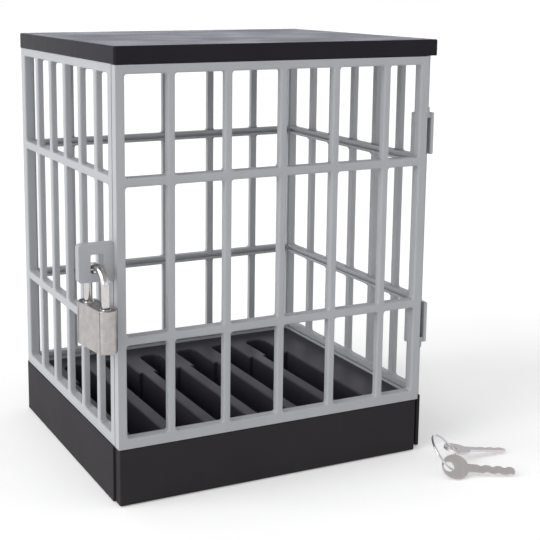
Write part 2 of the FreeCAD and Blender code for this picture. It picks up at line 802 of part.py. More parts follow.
# every object has to be sound before anything is written
pieces = [
    door, left, right, back, lid, liner, shell, panel, rack, plate, case, shackle, plug, bolt,
    spring, ring, first_key, second_key,
]
for part in doc.Objects:
    if "Invalid" in part.State or "Error" in part.State:
        raise RuntimeError("%s failed: %s" % (part.Label, part.getStatusString()))
    single = part.Label.startswith(("lid_screw", "base_screw", "lower_hinge", "upper_hinge"))
    if single and part.TypeId in ("PartDesign::Body", "Part::Cylinder"):
        pieces.append(part)
for part in pieces:
    if part.Shape.isNull() or not part.Shape.isValid():
        raise RuntimeError("%s has no valid shape" % part.Label)
    if len(part.Shape.Solids) != 1:
        raise RuntimeError("%s is %d solids" % (part.Label, len(part.Shape.Solids)))
    part.Shape.exportStep("parts/%s.step" % part.Label)
print("%d parts written" % len(pieces))
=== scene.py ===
import logging
import math
from dataclasses import dataclass, field
from enum import Enum
from typing import Callable, Iterable, Sequence

import bmesh
import bpy
from mathutils import Matrix, Vector


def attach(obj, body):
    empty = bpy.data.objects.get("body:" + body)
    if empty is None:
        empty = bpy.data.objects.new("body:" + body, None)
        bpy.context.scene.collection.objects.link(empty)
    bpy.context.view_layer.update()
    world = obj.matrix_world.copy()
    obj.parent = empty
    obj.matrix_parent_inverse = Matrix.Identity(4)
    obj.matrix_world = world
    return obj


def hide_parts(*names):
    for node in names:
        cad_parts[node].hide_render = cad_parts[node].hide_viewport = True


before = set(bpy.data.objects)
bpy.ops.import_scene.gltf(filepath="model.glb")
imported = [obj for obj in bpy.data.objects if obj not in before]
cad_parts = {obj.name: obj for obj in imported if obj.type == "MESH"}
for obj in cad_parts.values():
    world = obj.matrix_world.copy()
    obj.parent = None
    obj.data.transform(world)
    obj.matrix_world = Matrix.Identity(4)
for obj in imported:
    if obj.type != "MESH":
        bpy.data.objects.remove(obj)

# The looks of a barred lock box: a slotted base, four barred sides, a flat lid, a front door
# with a hasp, a small padlock and its keys. Sizes are in millimetres from the box's own corner:
# x from the left side, y from the front, z from the table.

LOG = logging.getLogger("lock_box")
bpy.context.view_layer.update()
CORNER = Vector((-96.0, -81.5, 0.0))
MM = 0.001
TO_ROW = Matrix.Scale(MM, 4) @ Matrix.Translation(CORNER)

Point = tuple[float, float, float]
Span = tuple[float, float]
Test = Callable[[Vector], bool]
Mesh = bmesh.types.BMesh
Vert = bmesh.types.BMVert
Edge = bmesh.types.BMEdge
Face = bmesh.types.BMFace
Socket = bpy.types.NodeSocket
Pick = Callable[[Edge], bool]

# a noise pattern mostly stays between these two
PATTERN_LOW, PATTERN_HIGH = 0.3, 0.7

# an edge is rounded from the first angle on, and shaded as a crease past the second
RIDGE_ANGLE = math.radians(35)
CREASE_ANGLE = math.radians(40)


# finishes


class Lay(Enum):
    """Which way a metal's fine brush marks run."""

    ALONG_X = (1.0, 14.0, 14.0)
    ALONG_Y = (14.0, 1.0, 14.0)
    ALONG_Z = (14.0, 14.0, 1.0)
    NONE = (1.0, 1.0, 1.0)


class Graph:
    """A material's node tree with short calls to add nodes and links."""

    def __init__(self, name: str) -> None:
        """Start an empty material.

        Args:
            name: the material's name.
        """
        self.material = bpy.data.materials.new(name)
        self.material.use_nodes = True
        self.tree = self.material.node_tree
        self.shader = self.tree.nodes["Principled BSDF"]

    def add(self, kind: str, **inputs: object) -> bpy.types.Node:
        """Add a node and fill its named inputs.

        Args:
            kind: the node's type name.
            inputs: values or sockets by input name, with _ for spaces.

        Returns:
            The new node.
        """
        node = self.tree.nodes.new(kind)
        for name, value in inputs.items():
            self.feed(node, name.replace("_", " "), value)
        return node

    def feed(self, node: bpy.types.Node, name: str, value: object) -> None:
        """Set or link one input of a node.

        Args:
            node: the node.
            name: the input's name.
            value: a plain value, or the socket to link from.
        """
        if isinstance(value, Socket):
            self.tree.links.new(value, node.inputs[name])
        else:
            node.inputs[name].default_value = value

    def place(self, stretch: Point = (1.0, 1.0, 1.0)) -> Socket:
        """Give object coordinates, stretched along the axes.

        Args:
            stretch: factors along x, y and z.

        Returns:
            The coordinate socket.
        """
        source = self.add("ShaderNodeTexCoord")
        mapping = self.add("ShaderNodeMapping", Vector=source.outputs["Object"], Scale=stretch)
        return mapping.outputs["Vector"]

    def noise(self, place: Socket, scale: float, detail: float = 3.0) -> Socket:
        """Give a cloudy pattern between 0 and 1.

        Args:
            place: the coordinates.
            scale: how many clouds fit in a metre.
            detail: how many finer layers it has.

        Returns:
            The pattern's socket.
        """
        node = self.add("ShaderNodeTexNoise", Vector=place, Scale=scale, Detail=detail)
        return node.outputs["Fac"]

    def spread(self, value: Socket, low: float, high: float) -> Socket:
        """Map the middle of a cloudy pattern to a range.

        Args:
            value: the pattern.
            low: the result where it is low.
            high: the result where it is high.

        Returns:
            The mapped socket.
        """
        node = self.add(
            "ShaderNodeMapRange", Value=value, From_Min=PATTERN_LOW, From_Max=PATTERN_HIGH,
            To_Min=low, To_Max=high,
        )
        return node.outputs["Result"]

    def tint(self, factor: Socket, dark: Point, light: Point) -> Socket:
        """Blend two colours by a pattern.

        Args:
            factor: the pattern.
            dark: the colour at 0.
            light: the colour at 1.

        Returns:
            The colour's socket.
        """
        ramp = self.add("ShaderNodeValToRGB", Fac=factor)
        ramp.color_ramp.elements[0].position = PATTERN_LOW
        ramp.color_ramp.elements[0].color = (*dark, 1.0)
        ramp.color_ramp.elements[1].position = PATTERN_HIGH
        ramp.color_ramp.elements[1].color = (*light, 1.0)
        return ramp.outputs["Color"]

    def vary(self, factor: Socket, colour: Point, amount: float) -> Socket:
        """Make a colour a little darker and lighter by a pattern.

        Args:
            factor: the pattern.
            colour: the colour.
            amount: the share by which it changes either way.

        Returns:
            The colour's socket.
        """
        return self.tint(factor, shaded(colour, 1 - amount), shaded(colour, 1 + amount))

    def blend(self, first: Socket, second: Socket) -> Socket:
        """Average two patterns.

        Args:
            first: one pattern.
            second: the other.

        Returns:
            The averaged socket.
        """
        node = self.tree.nodes.new("ShaderNodeMix")
        self.tree.links.new(first, node.inputs[2])
        self.tree.links.new(second, node.inputs[3])
        return node.outputs[0]

    def bump(self, height: Socket, depth: float, under: Socket | None = None) -> Socket:
        """Turn a pattern into relief.

        Args:
            height: the pattern.
            depth: the relief's depth in metres.
            under: the relief below it, if there is one.

        Returns:
            The normal's socket.
        """
        node = self.add("ShaderNodeBump", Height=height, Distance=depth, Strength=1.0)
        if under is not None:
            self.feed(node, "Normal", under)
        return node.outputs["Normal"]


def shaded(colour: Point, factor: float) -> Point:
    """Make a colour lighter or darker.

    Args:
        colour: red, green and blue.
        factor: what each is multiplied by.

    Returns:
        The changed colour.
    """
    return tuple(min(1.0, part * factor) for part in colour)


@dataclass(frozen=True)
class MouldedPlastic:
    """Injection-moulded plastic with a fine spark-eroded grain."""

    name: str
    colour: Point
    roughness: float = 0.45
    grain: float = 2600.0
    grain_depth: float = 0.000018
    mottle: float = 0.06
    specular: float = 0.5
    ior: float = 1.5
    clouds_per_metre: float = 28.0
    flow_per_metre: float = 60.0
    flow_stretch: Point = (1.0, 1.0, 0.25)
    flow_depth: float = 0.00012
    shine: Span = (0.05, 0.06)

    def make(self) -> bpy.types.Material:
        """Build the material with its grain, flow marks and handling shine."""
        graph = Graph(self.name)
        place = graph.place()
        clouds = graph.noise(place, self.clouds_per_metre, 4.0)
        flow = graph.noise(graph.place(self.flow_stretch), self.flow_per_metre, 2.0)
        speckle = graph.noise(place, self.grain, 2.0)
        graph.feed(graph.shader, "Base Color", graph.vary(clouds, self.colour, self.mottle))
        rough = graph.spread(clouds, self.roughness - self.shine[0], self.roughness + self.shine[1])
        graph.feed(graph.shader, "Roughness", rough)
        graph.feed(graph.shader, "Specular IOR Level", self.specular)
        graph.feed(graph.shader, "IOR", self.ior)
        waves = graph.bump(flow, self.flow_depth)
        graph.feed(graph.shader, "Normal", graph.bump(speckle, self.grain_depth, waves))
        return graph.material


@dataclass(frozen=True)
class Metal:
    """Plated, brushed or turned metal with fine scratches."""

    name: str
    colour: Point
    roughness: float
    lay: Lay = Lay.NONE
    scratch_depth: float = 0.00001
    spread: float = 0.08
    streaks: float = 0.08
    marks_per_metre: float = 900.0
    spots_per_metre: float = 260.0
    spot_depth: float = 0.00003

    def make(self) -> bpy.types.Material:
        """Build the material with brush marks, handling marks and dull spots."""
        graph = Graph(self.name)
        marks = graph.noise(graph.place(self.lay.value), self.marks_per_metre, 4.0)
        spots = graph.noise(graph.place(), self.spots_per_metre, 5.0)
        colour = graph.vary(graph.blend(marks, spots), self.colour, self.streaks)
        graph.feed(graph.shader, "Base Color", colour)
        graph.feed(graph.shader, "Metallic", 1.0)
        rough = graph.spread(marks, self.roughness - self.spread, self.roughness + self.spread)
        graph.feed(graph.shader, "Roughness", rough)
        dents = graph.bump(spots, self.spot_depth)
        graph.feed(graph.shader, "Normal", graph.bump(marks, self.scratch_depth, dents))
        return graph.material


GRILLE_GREY = MouldedPlastic("grille_grey", (0.385, 0.395, 0.415), roughness=0.42, mottle=0.04)
BASE_BLACK = MouldedPlastic(
    "base_black", (0.034, 0.0315, 0.034), roughness=0.34, grain_depth=0.000008, ior=1.06,
)
LID_BLACK = MouldedPlastic(
    "lid_black", (0.0215, 0.0195, 0.0245), roughness=0.24, grain_depth=0.000004, ior=1.09,
)
RACK_BLACK = MouldedPlastic("rack_black", (0.028, 0.026, 0.034), roughness=0.42, specular=0.35)
LINER_BLACK = MouldedPlastic("liner_black", (0.03, 0.03, 0.031), roughness=0.6)
SATIN_NICKEL = Metal("satin_nickel", (0.43, 0.41, 0.40), 0.36, Lay.ALONG_Y, streaks=0.22)
LOCK_RECESS = Metal("lock_recess", (0.30, 0.285, 0.285), 0.42)
POLISHED_CHROME = Metal(
    "polished_chrome", (0.60, 0.58, 0.57), 0.13, spread=0.05, scratch_depth=0.000004,
)
RING_CHROME = Metal("ring_chrome", (0.66, 0.66, 0.67), 0.2, spread=0.05)
KEY_NICKEL = Metal("key_nickel", (0.74, 0.70, 0.68), 0.5, Lay.ALONG_X)
TURNED_BRASS = Metal("turned_brass", (0.60, 0.44, 0.20), 0.3)
DRAWN_STEEL = Metal("drawn_steel", (0.50, 0.50, 0.50), 0.35, Lay.ALONG_Z)
DARK_ZINC = Metal("dark_zinc", (0.20, 0.20, 0.21), 0.42)

Finish = MouldedPlastic | Metal


class Finishes:
    """Makes each finish once and hands it out again."""

    def __init__(self) -> None:
        """Start with no finish made."""
        self.made: dict[str, bpy.types.Material] = {}

    def get(self, finish: Finish) -> bpy.types.Material:
        """Give the material of a finish.

        Args:
            finish: the finish.

        Returns:
            Its material, made on the first call.
        """
        if finish.name not in self.made:
            self.made[finish.name] = finish.make()
        return self.made[finish.name]


FINISHES = Finishes()


# mesh work shared by all pieces


def lattice(columns: Sequence[float], rows: Sequence[float], keep: Test) -> Mesh:
    """Make a level sheet of cells between given lines, without the cells that are open.

    Args:
        columns: the x of each line across.
        rows: the y of each line up.
        keep: tells from a cell's middle whether it is there.

    Returns:
        The sheet at z = 0.
    """
    mesh = bmesh.new()
    across, up = len(columns) - 1, len(rows) - 1
    bmesh.ops.create_grid(mesh, x_segments=across, y_segments=up, size=1.0)
    for corner in mesh.verts:
        column = round((corner.co.x + 1) / 2 * across)
        row = round((corner.co.y + 1) / 2 * up)
        corner.co = Vector((columns[column], rows[row], 0.0))
    gone = [face for face in mesh.faces if not keep(face.calc_center_median())]
    bmesh.ops.delete(mesh, geom=gone, context="FACES")
    return mesh


def grow(mesh: Mesh, faces: Iterable[Face], step: Point) -> list[Face]:
    """Extrude faces as one region; a lone sheet becomes a closed solid.

    Args:
        mesh: the mesh.
        faces: the faces to extrude.
        step: how far and which way.

    Returns:
        The faces at the far end.
    """
    region = set(faces)
    around = {other for face in region for edge in face.edges for other in edge.link_faces}
    attached = not around <= region
    made = bmesh.ops.extrude_face_region(mesh, geom=list(region))["geom"]
    bmesh.ops.translate(mesh, verts=only(made, Vert), vec=step)
    if attached:
        bmesh.ops.delete(mesh, geom=list(region), context="FACES")
    return only(made, Face)


def only(parts: Iterable[object], kind: type) -> list:
    """Pick the parts of one kind, such as a new shape's corners."""
    return [part for part in parts if isinstance(part, kind)]


def draw_out(mesh: Mesh, loop: Iterable[Edge], step: Point) -> None:
    """Extrude a loop of edges and close its far end.

    Args:
        mesh: the mesh.
        loop: the loop's edges.
        step: how far and which way.
    """
    made = bmesh.ops.extrude_edge_only(mesh, edges=list(loop))["geom"]
    bmesh.ops.translate(mesh, verts=only(made, Vert), vec=step)
    bmesh.ops.edgeloop_fill(mesh, edges=only(made, Edge))


def tidy_normals(mesh: Mesh) -> None:
    """Turn all faces outwards."""
    bmesh.ops.recalc_face_normals(mesh, faces=mesh.faces[:])


def soften(mesh: Mesh, edges: Iterable[Edge], radius: float, steps: int = 3) -> None:
    """Round edges.

    Args:
        mesh: the mesh.
        edges: the edges to round.
        radius: the rounding's reach.
        steps: how many facets it has.
    """
    chosen = list(edges)
    if chosen:
        bmesh.ops.bevel(
            mesh, geom=chosen, offset=radius, offset_type="OFFSET", segments=steps,
            profile=0.5, affect="EDGES", clamp_overlap=False, material=-1,
        )


def is_sharp(edge: Edge, outer: bool = True) -> bool:
    """Tell a crease from a flat or smooth edge.

    Args:
        edge: the edge.
        outer: True for ridges only, False for valleys only.

    Returns:
        True for a crease of the wanted kind.
    """
    if len(edge.link_faces) != 2 or edge.calc_face_angle() < RIDGE_ANGLE:
        return False
    return edge.is_convex == outer


def sharp_edges(mesh: Mesh, test: Pick = lambda edge: True, outer: bool = True) -> list[Edge]:
    """List a mesh's creases.

    Args:
        mesh: the mesh.
        test: picks among them.
        outer: True for ridges only, False for valleys only.

    Returns:
        The picked creases.
    """
    return [edge for edge in mesh.edges if is_sharp(edge, outer) and test(edge)]


def near(first: float, second: float) -> bool:
    """Tell whether two lengths agree within a hundredth of a millimetre."""
    return abs(first - second) < 0.01


def middle(edge: Edge) -> Vector:
    """Give the middle of an edge."""
    return (edge.verts[0].co + edge.verts[1].co) / 2


def is_upright(edge: Edge) -> bool:
    """Tell whether an edge runs along z."""
    run = edge.verts[1].co - edge.verts[0].co
    return abs(run.z) > 0.99 * run.length


def add_block(mesh: Mesh, low: Point, high: Point, radius: float = 0.4) -> None:
    """Add a box with rounded edges.

    Args:
        mesh: the mesh it joins.
        low: its lowest corner.
        high: its highest corner.
        radius: its rounding.
    """
    size = Vector(high) - Vector(low)
    place = Matrix.Translation((Vector(low) + Vector(high)) / 2) @ Matrix.Diagonal((*size, 1.0))
    corners = bmesh.ops.create_cube(mesh, size=1.0, matrix=place)["verts"]
    edges = {edge for corner in corners for edge in corner.link_edges}
    soften(mesh, edges, radius)


def corners_of(across: Span, back: Span, up: Span) -> tuple[Point, Point]:
    """Give a box's lowest and highest corners from its reach along x, y and z."""
    return (across[0], back[0], up[0]), (across[1], back[1], up[1])


def add_rod(mesh: Mesh, foot: Point, radius: float, length: float, edge: float = 0.15) -> None:
    """Add an upright round rod with rounded rims.

    Args:
        mesh: the mesh it joins.
        foot: the middle of its lower end.
        radius: its radius.
        length: its height.
        edge: its rims' rounding.
    """
    place = Matrix.Translation(Vector(foot) + Vector((0, 0, length / 2)))
    corners = bmesh.ops.create_cone(
        mesh, cap_ends=True, segments=32, radius1=radius, radius2=radius, depth=length, matrix=place
    )["verts"]
    edges = {rim for corner in corners for rim in corner.link_edges if not is_upright(rim)}
    soften(mesh, edges, edge, 2)


def join_plate(mesh: Mesh, columns: Sequence[float], rows: Sequence[float], front: float) -> None:
    """Add a hasp plate: upright, facing -y, with one rectangular hole and rounded corners.

    Args:
        mesh: the mesh it joins.
        columns: the x of the plate's left side, the hole's two sides and the plate's right side.
        rows: the z of the plate's foot, the hole's foot and top, and the plate's top.
        front: the y of its front face.
    """

    def keep(point: Vector) -> bool:
        """Tell whether a cell is outside the hole."""
        return not (columns[1] < point.x < columns[2] and rows[1] < point.y < rows[2])

    plate = lattice(columns, rows, keep)
    grow(plate, plate.faces[:], (0, 0, -HASP_THICKNESS))
    tidy_normals(plate)
    ends = [
        edge for edge in sharp_edges(plate, is_upright)
        if any(near(middle(edge).x, end) for end in (columns[0], columns[-1]))
    ]
    soften(plate, ends, HASP_CORNER, 5)
    soften(plate, sharp_edges(plate, is_upright, False), HASP_HOLE_CORNER)
    soften(plate, sharp_edges(plate), HASP_EDGE)
    stand = Matrix.Translation((0, front, 0)) @ Matrix.Rotation(math.pi / 2, 4, "X")
    bmesh.ops.transform(plate, matrix=stand, verts=plate.verts[:])
    absorb(mesh, plate)


def absorb(mesh: Mesh, other: Mesh) -> None:
    """Add all of one mesh to another and free it.

    Args:
        mesh: the mesh that grows.
        other: the mesh that is added.
    """
    store = bpy.data.meshes.new("store")
    other.to_mesh(store)
    mesh.from_mesh(store)
    other.free()
    bpy.data.meshes.remove(store)


def finish_piece(
    name: str, mesh: Mesh, finish: Finish, body: str,
    replaced: Sequence[str] = (), in_row: bool = False, second: Finish | None = None,
) -> bpy.types.Object:
    """Turn a mesh into a shown piece that rides on a body.

    Args:
        name: the piece's name.
        mesh: its mesh, in millimetres from the box's corner unless in_row.
        finish: its finish.
        body: the body that it rides on.
        replaced: the nodes that it stands for.
        in_row: True where the mesh is already in metres in the row's frame.
        second: the finish of the faces with material index 1.

    Returns:
        The piece.
    """
    if not in_row:
        bmesh.ops.transform(mesh, matrix=TO_ROW, verts=mesh.verts[:])
    for face in mesh.faces:
        face.smooth = True
    for edge in mesh.edges:
        crease = len(edge.link_faces) == 2 and edge.calc_face_angle() > CREASE_ANGLE
        edge.smooth = not crease
    data = bpy.data.meshes.new(name)
    mesh.to_mesh(data)
    mesh.free()
    piece = bpy.data.objects.new(name, data)
    bpy.context.scene.collection.objects.link(piece)
    data.materials.append(FINISHES.get(finish))
    if second is not None:
        data.materials.append(FINISHES.get(second))
    weights = piece.modifiers.new("even_normals", "WEIGHTED_NORMAL")
    weights.keep_sharp = True
    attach(piece, body)
    if replaced:
        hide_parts(*replaced)
    LOG.info("%s rides on %s: %d faces", name, body, len(data.polygons))
    return piece


def softened_copy(node: str, radius: float, steps: int = 2) -> Mesh:
    """Copy a solid's mesh, merge it and round its creases.

    Args:
        node: the solid's name.
        radius: the rounding in metres.
        steps: how many facets it has.

    Returns:
        The mesh, in metres in the row's frame.
    """
    mesh = bmesh.new()
    mesh.from_mesh(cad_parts[node].data)
    bmesh.ops.remove_doubles(mesh, verts=mesh.verts[:], dist=1e-6)
    flat = math.radians(0.5)
    bmesh.ops.dissolve_limit(mesh, angle_limit=flat, verts=mesh.verts[:], edges=mesh.edges[:])
    soften(mesh, sharp_edges(mesh), radius, steps)
    return mesh


# sub-assemblies

# the hinge and the hasp join two panels each, so their shared sizes stand here
HINGE_AXIS = (188.0, 2.6)
HINGE_RADIUS = 1.3
HINGE_LEAVES = ((65.4, 89.1), (175.5, 199.2))
HASP_THICKNESS = 2.2
HASP_CORNER = 1.8
HASP_HOLE_CORNER = 0.8
HASP_EDGE = 0.35


@dataclass
class Grille:
    """One barred panel, drawn flat and then stood up and turned into its place."""

    node: str
    width: float
    posts: Span
    bar_start: float
    pitch: float
    depth: float
    origin: Span
    turn: float
    body: str = "cage"
    top: float = 231.0
    bars: int = 5
    bar_width: float = 4.2
    bar_depth: float = 3.6
    low: float = 31.8
    rails: tuple[Span, ...] = ((31.8, 37.4), (87.3, 92.2), (169.5, 174.4))
    head: float = 226.1
    groove: Span = (1.6, 3.3)
    corner: float = 1.5
    rim: float = 1.0
    margin: float = 1.6

    def columns(self) -> list[float]:
        """Give the lines between posts, gaps and bars."""
        lines = [0.0, self.posts[0]]
        for number in range(self.bars):
            centre = self.bar_start + self.pitch * number
            lines += [centre - self.bar_width / 2, centre + self.bar_width / 2]
        return lines + [self.width - self.posts[1], self.width]

    def rows(self) -> list[float]:
        """Give the lines between rails, grooves and gaps."""
        lines = []
        for low, high in self.rails:
            lines += [low, low + self.groove[0], low + self.groove[1], high]
        return lines + [self.head, self.top]

    def on_rail(self, point: Vector) -> bool:
        """Tell whether a point lies on a rail, the sill or the head."""
        return point.y > self.head or any(low < point.y < high for low, high in self.rails)

    def on_post(self, point: Vector) -> bool:
        """Tell whether a point lies on an end post."""
        return point.x < self.posts[0] or point.x > self.width - self.posts[1]

    def on_bar(self, point: Vector) -> bool:
        """Tell whether a point lies on a bar."""
        number = round((point.x - self.bar_start) / self.pitch)
        centre = self.bar_start + self.pitch * min(max(number, 0), self.bars - 1)
        return abs(point.x - centre) < self.bar_width / 2

    def in_groove(self, point: Vector) -> bool:
        """Tell whether a point lies in a rail's groove."""
        low, high = self.groove
        inside = any(start + low < point.y < start + high for start, _ in self.rails)
        return inside and not self.on_post(point)

    def build(self) -> Mesh:
        """Make the panel's mesh.

        Returns:
            The panel, in millimetres from the box's corner.
        """
        mesh = lattice(
            self.columns(), self.rows(),
            lambda point: self.on_rail(point) or self.on_post(point) or self.on_bar(point),
        )
        inner = grow(mesh, mesh.faces[:], (0, 0, -self.bar_depth))
        raised = []
        for face in inner:
            centre = face.calc_center_median()
            if (self.on_rail(centre) or self.on_post(centre)) and not self.in_groove(centre):
                raised.append(face)
        grow(mesh, raised, (0, 0, self.bar_depth - self.depth))
        tidy_normals(mesh)
        soften(mesh, sharp_edges(mesh, self.at_gap, False), self.corner, 4)
        soften(mesh, sharp_edges(mesh, self.is_rim), self.rim, 4)
        stand = Matrix.Rotation(math.pi / 2, 4, "X")
        turn = Matrix.Rotation(math.radians(self.turn), 4, "Z")
        place = Matrix.Translation((*self.origin, 0.0))
        bmesh.ops.transform(mesh, matrix=place @ turn @ stand, verts=mesh.verts[:])
        return mesh

    def at_gap(self, edge: Edge) -> bool:
        """Tell whether an edge starts at the panel's face and runs into its depth."""
        return is_upright(edge) and max(corner.co.z for corner in edge.verts) > -0.1

    def is_rim(self, edge: Edge) -> bool:
        """Tell whether an edge is the outer rim of a gap, clear of the panel's own edges."""
        if any(abs(corner.co.z) > 0.01 for corner in edge.verts):
            return False
        centre = middle(edge)
        inside = self.margin < centre.x < self.width - self.margin
        return inside and self.low + self.margin < centre.y < self.top - self.margin

    def extras(self, mesh: Mesh) -> None:
        """Add what else the panel carries: nothing on a plain one."""

    def make(self) -> None:
        """Build the panel and put it on its body."""
        mesh = self.build()
        self.extras(mesh)
        finish_piece(self.node + "_dressed", mesh, GRILLE_GREY, self.body, [self.node])


@dataclass
class Door(Grille):
    """The front door with its hasp plate, two rear lugs and two hinge knuckles."""

    hasp_columns: tuple[float, ...] = (-18.6, -12.0, -4.9, 2.0)
    hasp_rows: tuple[float, ...] = (121.8, 126.3, 136.0, 141.6)
    hasp_front: float = 3.9
    lug_across: Span = (181.1, 184.0)
    lug_back: Span = (4.2, 8.3)
    web_across: Span = (185.3, 187.8)
    web_back: Span = (1.6, 3.6)
    knuckle_rows: tuple[Span, ...] = ((62.5, 65.1), (199.5, 202.1))

    def extras(self, mesh: Mesh) -> None:
        """Add the hasp plate, the lugs and the knuckles with the webs that carry them."""
        join_plate(mesh, self.hasp_columns, self.hasp_rows, self.hasp_front)
        for rows in HINGE_LEAVES:
            add_block(mesh, *corners_of(self.lug_across, self.lug_back, rows), 0.5)
        for rows in self.knuckle_rows:
            add_rod(mesh, (*HINGE_AXIS, rows[0]), HINGE_RADIUS, rows[1] - rows[0])
            add_block(mesh, *corners_of(self.web_across, self.web_back, rows), 0.2)


@dataclass
class HaspSide(Grille):
    """The left side with the hasp's fixed plate, whose hole leaves room for the shackle's swing."""

    hasp_columns: tuple[float, ...] = (-18.6, -12.6, -4.9, 1.5)
    hasp_rows: tuple[float, ...] = (121.8, 125.4, 136.0, 141.6)
    hasp_front: float = 6.5

    def extras(self, mesh: Mesh) -> None:
        """Add the fixed plate behind the door's."""
        join_plate(mesh, self.hasp_columns, self.hasp_rows, self.hasp_front)


@dataclass
class HingeSide(Grille):
    """The right side with the two hinge leaves and their knuckles."""

    leaf_across: Span = (189.7, 192.0)
    leaf_back: Span = (1.2, 8.2)
    web_across: Span = (188.2, 190.2)
    web_back: Span = (1.8, 3.4)
    knuckle_rows: tuple[Span, ...] = ((65.4, 68.4), (196.2, 199.2))

    def extras(self, mesh: Mesh) -> None:
        """Add the leaves, and the knuckles with the webs that carry them."""
        for rows in HINGE_LEAVES:
            add_block(mesh, *corners_of(self.leaf_across, self.leaf_back, rows), 0.7)
        for rows in self.knuckle_rows:
            add_rod(mesh, (*HINGE_AXIS, rows[0]), HINGE_RADIUS, rows[1] - rows[0])
            add_block(mesh, *corners_of(self.web_across, self.web_back, rows), 0.2)


@dataclass
class Lid:
    """The flat lid: a shallow cap with softly rounded edges."""

    size: Point = (192.0, 163.0, 9.0)
    low: float = 231.0
    wall: float = 2.4
    corner: float = 1.6
    edge: float = 0.9
    low_edge: float = 0.35

    def make(self) -> None:
        """Build the lid and put it on the cage."""
        mesh = lattice((0.0, self.size[0]), (0.0, self.size[1]), lambda point: True)
        grow(mesh, mesh.faces[:], (0, 0, self.size[2]))
        bmesh.ops.translate(mesh, verts=mesh.verts[:], vec=(0, 0, self.low))
        tidy_normals(mesh)
        below = [face for face in mesh.faces if face.normal.z < -0.9]
        bmesh.ops.inset_region(mesh, faces=below, thickness=self.wall, use_even_offset=True)
        below = [face for face in below if face.is_valid]
        grow(mesh, below, (0, 0, self.size[2] - self.wall))
        tidy_normals(mesh)
        soften(mesh, sharp_edges(mesh, is_upright), self.corner, 5)
        top = self.low + self.size[2] - 0.1
        soften(mesh, sharp_edges(mesh, lambda edge: middle(edge).z > top), self.edge, 4)
        foot = self.low + 0.1
        soften(mesh, sharp_edges(mesh, lambda edge: middle(edge).z < foot), self.low_edge, 2)
        finish_piece("lid_dressed", mesh, LID_BLACK, "cage", ["lid_top"])


